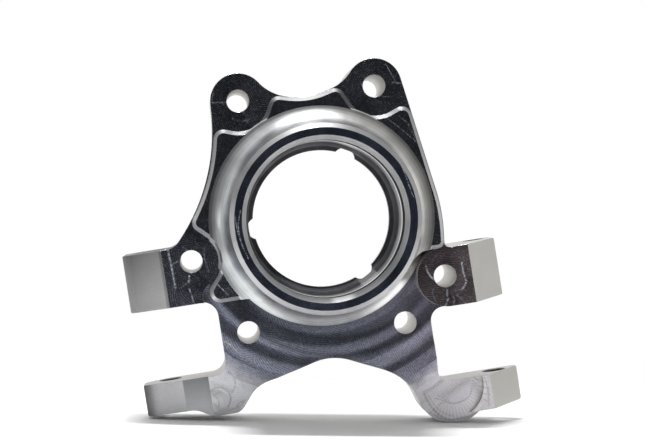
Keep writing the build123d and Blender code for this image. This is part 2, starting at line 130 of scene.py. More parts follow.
class Shader:
    """Adds and joins the nodes of one tree."""

    def __init__(self, tree):
        self.tree = tree
        tree.nodes.clear()

    def set(self, socket, value):
        """Joins an input to another socket, or gives it a plain value."""
        if isinstance(value, bpy.types.NodeSocket):
            self.tree.links.new(value, socket)
        else:
            socket.default_value = value

    def add(self, kind, inputs=None, **settings):
        node = self.tree.nodes.new(kind)
        for name, value in settings.items():
            setattr(node, name, value)
        for name, value in (inputs or {}).items():
            self.set(node.inputs[name], value)
        return node

    def math(self, operation, *values):
        node = self.add("ShaderNodeMath", operation=operation)
        for number, value in enumerate(values):
            self.set(node.inputs[number], value)
        return node.outputs[0]

    def vector(self, operation, *values, out=0):
        node = self.add("ShaderNodeVectorMath", operation=operation)
        for number, value in enumerate(values):
            self.set(node.inputs[number], value)
        return node.outputs[out]

    def scale(self, vector, factor):
        node = self.add("ShaderNodeVectorMath", operation="SCALE")
        self.set(node.inputs[0], vector)
        self.set(node.inputs["Scale"], factor)
        return node.outputs[0]

    def parts(self, vector):
        return self.add("ShaderNodeSeparateXYZ", inputs={"Vector": vector}).outputs

    def span(self, value, low, high, to_low=0.0, to_high=1.0, smooth=True):
        """Value moved from one range to another and held at its ends."""
        node = self.add(
            "ShaderNodeMapRange",
            interpolation_type="SMOOTHSTEP" if smooth else "LINEAR",
            inputs={
                "Value": value,
                "From Min": low,
                "From Max": high,
                "To Min": to_low,
                "To Max": to_high,
            },
        )
        return node.outputs["Result"]

    def mix(self, factor, first, second, blend="MIX"):
        node = self.add("ShaderNodeMix", data_type="RGBA", blend_type=blend)
        self.set(node.inputs[0], factor)
        self.set(node.inputs[6], first)
        self.set(node.inputs[7], second)
        return node.outputs[2]

    def blend(self, factor, first, second):
        node = self.add("ShaderNodeMix", data_type="FLOAT", inputs={0: factor, 2: first, 3: second})
        return node.outputs[0]

    def ramp(self, value, stops):
        """Grey tones at stops along a value, straight between them."""
        low, high = stops[0][0], stops[-1][0]
        place = self.span(value, low, high, smooth=False)
        node = self.add("ShaderNodeValToRGB", inputs={"Fac": place})
        elements = node.color_ramp.elements
        while len(elements) < len(stops):
            elements.new(0.5)
        for element, (level, _) in zip(elements, stops):
            element.position = (level - low) / (high - low)
        for element, (_, tone) in zip(elements, stops):
            element.color = (*tone, 1.0) if isinstance(tone, tuple) else (tone, tone, tone, 1.0)
        return node.outputs["Color"]

    def radius(self, vector, centre=(0, 0, 0)):
        """Distance from a centre, seen from the front."""
        offset = self.vector("SUBTRACT", vector, centre)
        return self.vector("LENGTH", self.vector("MULTIPLY", offset, (1, 0, 1)), out=1)

    def placed(self, tree, **inputs):
        """Outputs of a node group with its own values."""
        return self.add("ShaderNodeGroup", inputs=inputs, node_tree=tree).outputs

    def group(self, tree, **inputs):
        """First output of a node group with its own values."""
        return self.placed(tree, **inputs)[0]


def new_group(name, inputs, outputs):
    """Empty node group with named inputs and outputs."""
    tree = bpy.data.node_groups.new(name, "ShaderNodeTree")
    for label, kind, value in inputs:
        socket = tree.interface.new_socket(label, in_out="INPUT", socket_type=kind)
        socket.default_value = value
    for label, kind in outputs:
        tree.interface.new_socket(label, in_out="OUTPUT", socket_type=kind)
    shader = Shader(tree)
    entry = shader.add("NodeGroupInput").outputs
    ending = shader.add("NodeGroupOutput").inputs
    return tree, shader, entry, ending


# Fine grain, stretched along the cut
grain, shader, entry, ending = new_group(
    "fine_grain",
    [
        ("Vector", "NodeSocketVector", (0, 0, 0)),
        ("Stretch", "NodeSocketVector", (1, 1, 1)),
        ("Step", "NodeSocketFloat", 1.0),
    ],
    [("Value", "NodeSocketFloat")],
)
stretched = shader.vector("MULTIPLY", entry["Vector"], entry["Stretch"])
noise = shader.add(
    "ShaderNodeTexNoise",
    inputs={"Vector": stretched, "Scale": shader.math("DIVIDE", 1.0, entry["Step"]), "Detail": 3.0},
)
shader.set(ending["Value"], noise.outputs["Fac"])

# Slow change of tone over a surface
blotchy_tone, shader, entry, ending = new_group(
    "blotchy_tone",
    [
        ("Vector", "NodeSocketVector", (0, 0, 0)),
        ("Colour", "NodeSocketColor", (1, 1, 1, 1)),
        ("Amount", "NodeSocketFloat", 0.5),
    ],
    [("Colour", "NodeSocketColor"), ("Blotches", "NodeSocketFloat")],
)
blotches = shader.group(grain, Vector=entry["Vector"], Step=12.0)
shade = shader.ramp(blotches, [(0.3, 0.72), (0.7, 1.18)])
shaded = shader.mix(1.0, entry["Colour"], shade, "MULTIPLY")
shader.set(ending["Colour"], shader.mix(entry["Amount"], entry["Colour"], shaded))
shader.set(ending["Blotches"], blotches)

# Edges painted pale, part wear and part painted highlight on their rounding, patchy with the blotches, and
# the normal of the edges' slight rounding
edge_wear_and_highlight, shader, entry, ending = new_group(
    "edge_wear_and_highlight",
    [
        ("Radius", "NodeSocketFloat", ROUNDING),
        ("Blotches", "NodeSocketFloat", 0.5),
        ("Amount", "NodeSocketFloat", 1.0),
    ],
    [("Mask", "NodeSocketFloat"), ("Normal", "NodeSocketVector")],
)
rounding = shader.add("ShaderNodeBevel", samples=4, inputs={"Radius": entry["Radius"]}).outputs[0]
true_normal = shader.add("ShaderNodeNewGeometry").outputs["Normal"]
turn = shader.vector("DOT_PRODUCT", rounding, true_normal, out=1)
patchy = shader.math("MULTIPLY", entry["Blotches"], entry["Amount"])
shader.set(ending["Mask"], shader.math("MULTIPLY", shader.span(turn, 1.0, 0.8), patchy))
shader.set(ending["Normal"], rounding)

# Arcs that a face cutter leaves, patch by patch
swirls, shader, entry, ending = new_group(
    "cutter_swirls",
    [
        ("Vector", "NodeSocketVector", (0, 0, 0)),
        ("Patch", "NodeSocketFloat", 9.0),
        ("Step", "NodeSocketFloat", 1.0),
        ("Reach", "NodeSocketFloat", 14.0),
    ],
    [("Height", "NodeSocketFloat")],
)
flat = shader.vector("MULTIPLY", entry["Vector"], (1, 0, 1))
cells = shader.add(
    "ShaderNodeTexVoronoi",
    feature="SMOOTH_F1",
    inputs={"Vector": flat, "Scale": shader.math("DIVIDE", 1.0, entry["Patch"]), "Smoothness": 0.15},
)
centre = shader.vector("MULTIPLY", cells.outputs["Position"], (1, 0, 1))
shift = shader.scale(shader.vector("MULTIPLY", cells.outputs["Color"], (1, 0, 1)), entry["Reach"])
arm = shader.vector("SUBTRACT", flat, shader.vector("ADD", centre, shift))
reach = shader.vector("LENGTH", arm, out=1)
waves = shader.math("SINE", shader.math("DIVIDE", shader.math("MULTIPLY", reach, 6.283), entry["Step"]))
wobble = shader.group(grain, Vector=flat, Step=1.6)
shader.set(ending["Height"], shader.math("MULTIPLY", shader.math("MULTIPLY_ADD", waves, 0.5, 0.5), wobble))

# A cut face: arcs that stand out one by one, broken up by specks
cut_face, shader, entry, ending = new_group(
    "cut_face",
    [
        ("Vector", "NodeSocketVector", (0, 0, 0)),
        ("Patch", "NodeSocketFloat", 9.0),
        ("Step", "NodeSocketFloat", 1.0),
        ("Reach", "NodeSocketFloat", 14.0),
    ],
    [("Height", "NodeSocketFloat")],
)
arcs = shader.group(
    swirls, Vector=entry["Vector"], Patch=entry["Patch"], Step=entry["Step"], Reach=entry["Reach"],
)
specks = shader.span(shader.group(grain, Vector=entry["Vector"], Step=0.7), 0.3, 0.75)
shader.set(ending["Height"], shader.math("MULTIPLY", shader.span(arcs, 0.12, 0.62), specks))

# Rings left by turning about the bore axis, which change in tone on the way round
turned, shader, entry, ending = new_group(
    "turned_rings",
    [("Vector", "NodeSocketVector", (0, 0, 0)), ("Step", "NodeSocketFloat", 0.6)],
    [("Height", "NodeSocketFloat")],
)
axes = shader.parts(entry["Vector"])
flat = shader.vector("MULTIPLY", entry["Vector"], (1, 0, 1))
radius = shader.vector("LENGTH", flat, out=1)
line = shader.add("ShaderNodeCombineXYZ", inputs={"X": radius, "Y": axes["Y"]}).outputs[0]
rings = shader.add(
    "ShaderNodeTexNoise",
    inputs={"Vector": line, "Scale": shader.math("DIVIDE", 1.0, entry["Step"]), "Detail": 4.0},
)
rings = shader.math("MULTIPLY", shader.span(rings.outputs["Fac"], 0.3, 0.7), 0.65)
around = shader.vector("NORMALIZE", flat)
sweep = shader.span(shader.group(grain, Vector=around, Step=0.3), 0.35, 0.65)
shader.set(ending["Height"], shader.math("MULTIPLY_ADD", sweep, 0.35, rings))

# One straight mark on a face that looks forward
mark, shader, entry, ending = new_group(
    "straight_mark",
    [
        ("Vector", "NodeSocketVector", (0, 0, 0)),
        ("Start", "NodeSocketVector", (0, 0, 0)),
        ("End", "NodeSocketVector", (1, 0, 0)),
        ("Width", "NodeSocketFloat", 0.5),
    ],
    [("Mask", "NodeSocketFloat")],
)
offset = shader.vector("MULTIPLY", shader.vector("SUBTRACT", entry["Vector"], entry["Start"]), (1, 0, 1))
run = shader.vector("SUBTRACT", entry["End"], entry["Start"])
reached = shader.vector("DOT_PRODUCT", offset, run, out=1)
along = shader.math("DIVIDE", reached, shader.vector("DOT_PRODUCT", run, run, out=1))
along = shader.add("ShaderNodeClamp", inputs={"Value": along}).outputs[0]
away = shader.vector("LENGTH", shader.vector("SUBTRACT", offset, shader.scale(run, along)), out=1)
fade = shader.math("SUBTRACT", 1.0, shader.math("DIVIDE", away, entry["Width"]))
shader.set(ending["Mask"], shader.math("MAXIMUM", fade, 0.0))

# Marks on the faces, scratches painted light with their painted highlights: points X Z in millimetres,
# then width and strength
EAR_MARKS = [
    ((-50.0, 72.2), (-41.1, 70.8), 0.5, 0.6),
    ((-47.3, 78.5), (-49.1, 73.2), 0.5, 0.4),
    ((-39.5, 61.7), (-35.4, 59.4), (-30.3, 59.7), 0.6, 0.5),
    ((-33.5, 64.1), (-31.7, 61.6), (-31.8, 57.7), 0.5, 0.4),
    ((48.0, 78.2), (52.6, 66.3), 0.5, 0.55),
    ((50.1, 67.6), (56.2, 65.8), 0.6, 0.6),
    ((32.9, 70.3), (34.1, 67.2), (35.7, 64.4), 0.8, 0.5),
    ((40.7, 63.4), (44.1, 60.6), (49.0, 59.9), 0.5, 0.4),
]
LEFT_TAB_MARKS = [
    ((-85.7, -3.3), (-85.3, -12.6), (-84.8, -25.0), 0.9, 0.8),
    ((-85.5, -13.8), (-83.8, -11.7), (-81.4, -11.0), 0.5, 0.6),
    ((-76.3, -19.9), (-77.1, -23.1), 0.9, 0.9),
    ((-77.4, -26.8), (-76.9, -29.9), (-76.1, -34.4), 0.7, 0.7),
    ((-65.7, -5.8), (-66.7, -11.8), (-65.4, -18.9), 0.6, 0.5),
    ((-81.8, -25.5), (-78.4, -23.6), 0.5, 0.5),
    ((-77.6, -3.3), (-75.6, -5.5), 0.5, 0.6),
]
RIGHT_TAB_MARKS = [
    ((52.6, -34.8), (53.0, -38.2), (54.4, -41.2), (56.1, -42.7), 0.7, 0.8),
    ((72.2, -35.7), (72.2, -41.3), (73.0, -46.3), (71.6, -49.1), (69.8, -50.4), 0.8, 0.9),
    ((73.9, -34.7), (72.1, -36.3), 0.5, 0.5),
    ((62.0, -49.5), (61.5, -52.5), 0.8, 0.6),
    ((61.8, -54.4), (59.3, -58.3), 0.7, 0.7),
    ((66.7, -52.7), (68.0, -54.6), (70.8, -58.3), 0.5, 0.4),
    ((64.1, -51.2), (65.1, -55.3), (64.2, -57.9), 0.5, 0.4),
    ((54.7, -47.5), (53.8, -50.1), (54.8, -54.2), 0.5, 0.35),
]
ISLAND_MARKS = [
    ((44.3, 48.1), (52.1, 39.8), (59.6, 30.9), 0.4, 0.6),
    ((50.4, 49.0), (56.7, 41.5), 0.4, 0.45),
    ((53.6, 45.7), (60.2, 29.0), 0.4, 0.4),
    ((-62.0, -26.2), (-57.0, -33.2), 0.5, 0.7),
    ((30.4, 56.0), (36.3, 51.7), 0.4, 0.4),
]
BOSS_MARKS = [
    ((-47.2, 9.0), (-47.2, 3.5), (-46.5, -3.3), (-43.7, -14.4), 0.5, 0.7),
    ((-43.8, 11.5), (-46.2, 4.2), (-46.3, -1.8), (-45.7, -8.8), 0.5, 0.65),
    ((42.7, 23.7), (44.7, 17.4), (45.9, 9.9), 0.5, 0.7),
    ((44.0, 19.5), (45.6, 12.6), (46.6, 6.5), (47.5, 3.7), 0.5, 0.6),
]
LEG_MARKS = [
    ((-75.0, -79.1), (-69.6, -80.8), (-63.2, -83.1), (-57.5, -86.0), 0.6, 0.7),
    ((-72.5, -92.0), (-68.9, -90.4), (-66.9, -92.4), 1.4, 0.35),
    ((-58.4, -88.6), (-54.9, -87.5), (-52.3, -85.6), 1.2, 0.3),
    ((42.4, -103.2), (47.1, -102.0), (52.2, -98.8), (56.8, -97.8), 0.7, 0.7),
    ((58.3, -111.6), (63.1, -110.1), (67.6, -106.8), 2.2, 0.4),
]
# Cutter lines on the legs, and wide strokes of painted shade: points X Z in millimetres, then width and
# strength
LEG_CUTS_AND_SHADE = [
    (
        (42.3, -105.3), (45.7, -114.1), (50.9, -120.9), (56.2, -123.6), (67.0, -123.2), (72.4, -121.5),
        0.9, 0.51,
    ),
    ((43.6, -104.2), (47.3, -113.0), (52.1, -118.9), (56.8, -121.3), 0.6, 0.3),
    ((48.4, -109.8), (51.6, -111.1), (54.7, -113.3), 0.6, 0.42),
    ((50.3, -108.6), (52.9, -110.2), (55.3, -112.8), 0.6, 0.42),
    ((52.7, -107.9), (54.6, -109.9), (56.2, -112.4), 0.52, 0.34),
    ((50.1, -113.7), (53.0, -113.0), (55.8, -113.5), 0.52, 0.34),
    ((71.9, -101.3), (74.3, -103.9), (78.7, -105.2), 0.68, 0.42),
    ((71.0, -103.4), (74.3, -107.3), (79.2, -108.7), 0.68, 0.38),
    ((71.6, -106.9), (74.4, -110.7), (79.2, -112.6), 0.68, 0.38),
    ((72.8, -113.3), (76.0, -115.0), (78.4, -117.6), 0.68, 0.34),
    ((77.5, -101.6), (78.6, -109.1), (77.7, -118.6), 0.75, 0.38),
    ((33.8, -98.8), (39.3, -96.3), (44.7, -94.3), (50.1, -92.1), 0.9, 0.3),
    ((37.9, -91.0), (44.5, -88.6), (51.1, -86.3), 0.9, 0.26),
    (
        (-75.3, -86.5), (-72.5, -84.5), (-68.6, -84.8), (-65.3, -87.5), (-64.3, -91.4), (-65.6, -94.8),
        (-67.0, -96.3), 0.75, 0.47,
    ),
    ((-74.1, -89.5), (-72.2, -87.9), (-70.1, -87.3), 0.6, 0.26),
    ((-63.9, -76.2), (-61.4, -78.8), (-60.5, -82.4), (-61.4, -85.9), (-63.3, -88.4), 0.75, 0.42),
    ((-73.6, -87.9), (-71.5, -91.1), (-71.4, -93.9), (-72.7, -96.8), 0.68, 0.38),
    ((-62.2, -97.3), (-60.3, -95.1), (-57.0, -93.7), 0.75, 0.42),
    ((-62.2, -97.3), (-59.1, -96.4), (-57.0, -93.7), 0.75, 0.42),
    ((-72.3, -97.4), (-67.9, -98.4), (-63.3, -97.7), (-61.0, -97.8), 0.75, 0.38),
    ((42.2, -104.2), (47.0, -103.0), (52.0, -99.8), (56.7, -98.8), 0.75, 0.42),
    ((55.9, -108.9), (59.1, -106.9), (62.8, -104.9), (66.8, -103.0), 0.75, 0.51),
    (
        (55.5, -113.4), (58.5, -114.4), (62.5, -114.1), (66.7, -112.7), (69.1, -109.9), (70.2, -106.7),
        0.75, 0.51,
    ),
    ((-60.2, -80.0), (-48.0, -86.9), 0.75, 0.38),
    ((53.6, -109.2), (61.0, -105.8), (68.3, -102.4), 3.6, 0.3),
    ((71.7, -105.8), (73.3, -110.0), (73.8, -114.6), 2.6, 0.3),
    ((48.2, -119.9), (53.2, -124.4), (61.0, -125.3), (69.2, -123.8), 1.6, 0.35),
    ((42.6, -105.5), (48.1, -103.0), (54.3, -99.7), 1.8, 0.35),
    ((-73.9, -93.5), (-71.6, -96.7), (-66.1, -97.6), 1.6, 0.25),
    ((-72.2, -82.5), (-67.9, -84.3), (-63.4, -87.8), 1.6, 0.22),
]


def softened(points):
    """Points with a rounded course between them."""
    if len(points) < 3:
        return points
    row = [points[0], *points, points[-1]]
    course = [points[0]]
    for a, b, c, d in zip(row, row[1:], row[2:], row[3:]):
        course.append(tuple((9 * (q + r) - p - t) / 16 for p, q, r, t in zip(a, b, c, d)))
        course.append(c)
    return course


def marks_mask(shader, position, marks, faint=0.25):
    """Sum of marks, each one a run of straight pieces, fainter in patches."""
    total = 0.0
    for *points, width, strength in marks:
        points = softened(points)
        for (x1, z1), (x2, z2) in zip(points, points[1:]):
            one = shader.group(mark, Vector=position, Start=(x1, 0, z1), End=(x2, 0, z2), Width=width)
            total = shader.math("MAXIMUM", shader.math("MULTIPLY", one, strength), total)
    patchy = shader.span(shader.group(grain, Vector=position, Step=1.1), 0.36, 0.6, faint, 1.25)
    return shader.math("MULTIPLY", total, patchy)


def grey(value):
    """Opaque grey of one brightness."""
    return (value, value, value, 1.0)


def metal(
    name,
    dark,
    light,
    roughness,
    pattern,
    depth,
    tone=None,
    marks=(),
    cuts_and_shade=(),
    metallic=1.0,
    wear_and_highlight=0.5,
    cloud=0.5,
    specular=0.5,
):
    """Machined aluminium: two tones driven by a pattern, with bump, edges painted pale for wear and
    painted highlight, marks painted as scratches with their highlights, and cut lines with strokes of
    painted shade.
    """
    material = bpy.data.materials.new(name)
    material.use_nodes = True
    shader = Shader(material.node_tree)
    place = shader.add("ShaderNodeTexCoord").outputs["Object"]
    position = shader.scale(place, 1000.0)
    height = pattern(shader, position)
    colour = shader.mix(height, (*dark, 1.0), (*light, 1.0))
    colour, blotches = shader.placed(blotchy_tone, Vector=position, Colour=colour, Amount=cloud)
    if tone:
        colour, metallic = tone(shader, position, colour, metallic)
    # Edges painted pale: part wear, part painted highlight on their rounding
    worn_and_highlit, rounding = shader.placed(edge_wear_and_highlight, Radius=ROUNDING, Blotches=blotches, Amount=2.0 * wear_and_highlight)
    colour = shader.mix(worn_and_highlit, colour, grey(WORN_AND_HIGHLIT_GREY))
    # Cut lines and strokes of painted shade: darker, and sunk into the bump
    if cuts_and_shade:
        lines = marks_mask(shader, position, cuts_and_shade, faint=0.75)
        colour = shader.mix(lines, colour, grey(CUT_AND_SHADE_GREY))
        height = shader.math("MULTIPLY_ADD", lines, -CUT_DEPTH, height)
    worn_highlit_or_marked = worn_and_highlit
    # Marks painted light: scratches together with painted highlights
    if marks:
        lines = marks_mask(shader, position, marks)
        colour = shader.mix(lines, colour, SCRATCH_AND_HIGHLIGHT_TINT)
        worn_highlit_or_marked = shader.math("MAXIMUM", worn_highlit_or_marked, lines)
    if metallic != 0.0:
        kept = shader.math("MULTIPLY_ADD", worn_highlit_or_marked, -MARK_DULLING, 1.0)
        metallic = shader.math("MULTIPLY", metallic, kept)
    bump = shader.add(
        "ShaderNodeBump",
        inputs={"Height": height, "Strength": 0.5, "Distance": depth / 1000, "Normal": rounding},
    )
    surface = shader.add(
        "ShaderNodeBsdfPrincipled",
        inputs={
            "Base Color": colour,
            "Metallic": metallic,
            "Specular IOR Level": specular,
            "Roughness": shader.span(blotches, 0.3, 0.7, roughness - 0.03, roughness + 0.05),
            "Normal": bump.outputs["Normal"],
        },
    )
    output = shader.add("ShaderNodeOutputMaterial")
    material.node_tree.links.new(surface.outputs["BSDF"], output.inputs["Surface"])
    return material


def swirl_pattern(patch, step, reach=14.0):
    """Cutter arcs on a cut face."""
    return lambda shader, position: shader.group(
        cut_face, Vector=position, Patch=patch, Step=step, Reach=reach,
    )


def ring_pattern(step):
    """Turned rings about the bore axis."""
    return lambda shader, position: shader.group(turned, Vector=position, Step=step)


def line_pattern(stretch, step):
    """Fine grain, longer where the stretch is small."""
    return lambda shader, position: shader.group(grain, Vector=position, Stretch=stretch, Step=step)


def shade_along(direction, stops):
    """Multiplies the colour by grey tones along a direction."""

    def apply(shader, position, colour, metallic):
        along = shader.vector("DOT_PRODUCT", position, direction, out=1)
        return shader.mix(1.0, colour, shader.ramp(along, stops), "MULTIPLY"), metallic

    return apply


def in_turn(*tones):
    """Several tones, one after the other."""

    def apply(shader, position, colour, metallic):
        for tone in tones:
            colour, metallic = tone(shader, position, colour, metallic)
        return colour, metallic

    return apply


def notch_highlight_tone(shader, position, colour, metallic):
    """A painted highlight beside the lower right notch of the lip."""
    away = shader.radius(position, LIP_HIGHLIGHT)
    deep = shader.span(shader.parts(position)["Y"], 6.0, 9.0)
    notch_highlight = shader.math("MULTIPLY", shader.span(away, 6.0, 4.8), deep)
    metallic = shader.math("MULTIPLY", metallic, shader.math("SUBTRACT", 1.0, notch_highlight))
    return shader.mix(notch_highlight, colour, grey(1.0)), metallic


def seat_tone(shader, position, colour, metallic):
    """Painted shade at the mouth of the snap ring groove, then a painted light ring, and ground metal
    painted darker in bands.
    """
    level = shader.parts(position)["Y"]
    stops = [
        (-17.5, 0.1), (-9.5, 0.1), (-8.0, 1.2), (-4.0, 1.2), (-3.0, 0.42), (7.0, 0.6), (15.4, 0.45),
        (17.5, 0.7),
    ]
    colour = shader.mix(1.0, colour, shader.ramp(level, stops), "MULTIPLY")
    return colour, shader.span(level, -9.5, -8.0)


def lip_tone(shader, position, colour, metallic):
    """The lip is painted dark, and its outer half takes a painted highlight low down."""
    low = shader.span(shader.parts(position)["Z"], -24.0, -34.0)
    outer = shader.span(shader.radius(position), 38.3, 38.9)
    lip_highlight = shader.math("MULTIPLY", low, outer)
    return shader.mix(lip_highlight, colour, LIP_HIGHLIGHT_TINT), metallic


def lead_tone(shader, position, colour, metallic):
    """Painted shade darkens the lead-in low down, but for a painted glint at the bottom."""
    axes = shader.parts(position)
    tones = [(-44.0, (0.36, 0.36, 0.36)), (-28.0, (0.55, 0.56, 0.57)), (5.0, (0.9, 0.9, 0.9))]
    colour = shader.mix(1.0, colour, shader.ramp(axes["Z"], tones), "MULTIPLY")
    beside = shader.math("ABSOLUTE", shader.math("SUBTRACT", axes["X"], LEAD_GLINT_X))
    lead_glint = shader.math("MULTIPLY", shader.span(beside, 8.0, 2.5), shader.span(axes["Z"], -38.0, -41.0))
    metallic = shader.math("MULTIPLY_ADD", lead_glint, -metallic, metallic)
    return shader.mix(lead_glint, colour, grey(1.0)), metallic


def cove_tone(shader, position, colour, metallic):
    """Painted light and shade: the upper cove is painted darker to its foot, the lower one evenly light,
    and both lighter to the sides, most to the right.
    """
    axes = shader.parts(position)
    radius = shader.radius(position)
    stops = [
        (50.8, 0.62), (51.8, 1.05), (55.5, 1.15), (58.5, 0.75), (61.0, 0.36), (61.6, 0.32), (61.9, 1.2),
        (62.4, 1.2),
    ]
    upper = shader.ramp(radius, stops)
    stops = [(50.8, 1.0), (51.4, 1.3), (52.2, 2.4), (55.0, 2.15), (58.0, 1.5), (59.3, 1.2)]
    lower = shader.ramp(radius, stops)
    down = shader.span(axes["Z"], -28.0, -44.0)
    colour = shader.mix(1.0, colour, shader.mix(down, upper, lower), "MULTIPLY")
    tints = [(-60.0, (1.14, 1.16, 1.16)), (5.0, (1.0, 0.99, 0.98)), (45.0, (1.33, 1.29, 1.22))]
    side = shader.ramp(axes["X"], tints)
    return shader.mix(1.0, colour, side, "MULTIPLY"), metallic


def chamfer_tone(shader, position, colour, metallic):
    """Painted shade: the chamfer is darker towards the top."""
    tones = [(10.0, (1.1, 1.1, 1.1)), (45.0, (0.5, 0.5, 0.5))]
    return shader.mix(1.0, colour, shader.ramp(shader.parts(position)["Z"], tones), "MULTIPLY"), metallic


def web_pattern(shader, position):
    """Cutter arcs and feed lines on the web, scallops round the right leg's lobe."""
    arcs = shader.span(shader.group(swirls, Vector=position, Patch=13.0, Step=1.2, Reach=45.0), 0.08, 0.6)
    axes = shader.parts(position)
    angle = shader.math("MULTIPLY", shader.math("ARCTAN2", axes["Z"], axes["X"]), FEED_LINES)
    feed = shader.math("MULTIPLY_ADD", shader.math("SINE", angle), 0.4, 0.5)
    texture = shader.blend(shader.span(axes["X"], 5.0, 40.0, 0.15, 0.75), arcs, feed)
    specks = shader.span(shader.group(grain, Vector=position, Step=0.9), 0.25, 0.75)
    texture = shader.math("MULTIPLY_ADD", texture, 0.55, shader.math("MULTIPLY", specks, 0.45))
    offset = shader.vector("SUBTRACT", position, LOBE)
    parts = shader.parts(offset)
    angle = shader.math("ARCTAN2", parts["Z"], parts["X"])
    turn = shader.math("MULTIPLY_ADD", angle, SCALLOPS, shader.math("MULTIPLY", specks, 2.0))
    scallops = shader.math("MULTIPLY_ADD", shader.math("SINE", turn), 0.42, 0.5)
    reach = shader.radius(offset)
    side = shader.vector("DOT_PRODUCT", offset, LOBE_SIDE, out=1)
    band = shader.math("MULTIPLY", shader.span(reach, 9.5, 11.5), shader.span(reach, 20.5, 18.6))
    band = shader.math("MULTIPLY", band, shader.span(side, -1.0, 3.0))
    return shader.blend(band, texture, scallops)


def web_tone(shader, position, colour, metallic):
    """The web turns from blue-grey to pale and rough down the legs, and is warmer to the right; it carries
    painted shade in rings round the housing, at the cove's foot and low on the left, and painted light on
    the lobe's step wall.
    """
    axes = shader.parts(position)
    warm = shader.ramp(axes["X"], [(10.0, (1.0, 1.0, 1.0)), (55.0, (1.12, 0.98, 1.0))])
    colour = shader.mix(1.0, colour, warm, "MULTIPLY")
    radius = shader.radius(position)
    drift = shader.math("MULTIPLY_ADD", axes["X"], -0.1, radius)
    # Painted shade in rings round the housing
    stops = [
        (60.0, 1.0), (64.5, 0.8), (67.0, 0.4), (69.5, 0.5), (73.5, 0.65), (76.5, 0.45),
        (79.5, 1.1), (83.0, 0.78), (88.0, 0.78), (92.0, 1.0),
    ]
    colour = shader.mix(1.0, colour, shader.ramp(drift, stops), "MULTIPLY")
    # Painted shade at the foot of the cove
    foot = shader.ramp(radius, [(59.3, 0.42), (61.5, 0.5), (63.5, 1.0)])
    colour = shader.mix(1.0, colour, foot, "MULTIPLY")
    # Painted shade low on the left, close round the housing
    corner = shader.math("MULTIPLY", shader.span(axes["X"], -36.0, -52.0), shader.span(radius, 78.0, 66.0))
    colour = shader.mix(corner, colour, shader.mix(1.0, colour, grey(0.5), "MULTIPLY"))
    waver = shader.math("MULTIPLY_ADD", shader.group(grain, Vector=position, Step=4.0), 8.0, -4.0)
    radius = shader.math("ADD", radius, waver)
    side = shader.span(axes["X"], -5.0, 5.0)
    left = shader.span(radius, 89.0, 106.0)
    right = shader.span(radius, 100.0, 112.0)
    amount = shader.blend(side, left, right)
    lifted = shader.mix(1.0, colour, grey(1.9), "MULTIPLY")
    pale = shader.mix(0.66, lifted, PALE_TINT)
    offset = shader.vector("SUBTRACT", position, LOBE)
    reach = shader.radius(offset)
    # Painted light on the wall of the lobe's step
    wall = shader.math("MULTIPLY", shader.span(reach, 16.0, 17.5), shader.span(reach, 21.5, 19.5))
    wall = shader.math("MULTIPLY", wall, shader.span(shader.parts(offset)["X"], 6.0, 11.0))
    pale = shader.mix(shader.math("MULTIPLY", wall, 0.8), pale, grey(1.0))
    scratch = [((-62.9, -58.8), (-60.4, -60.9), (-57.1, -64.8), 0.45, 0.6)]
    colour = shader.mix(marks_mask(shader, position, scratch), colour, GOLDEN_TINT)
    return shader.mix(amount, colour, pale), shader.math("MULTIPLY_ADD", amount, -0.75, 1.0)
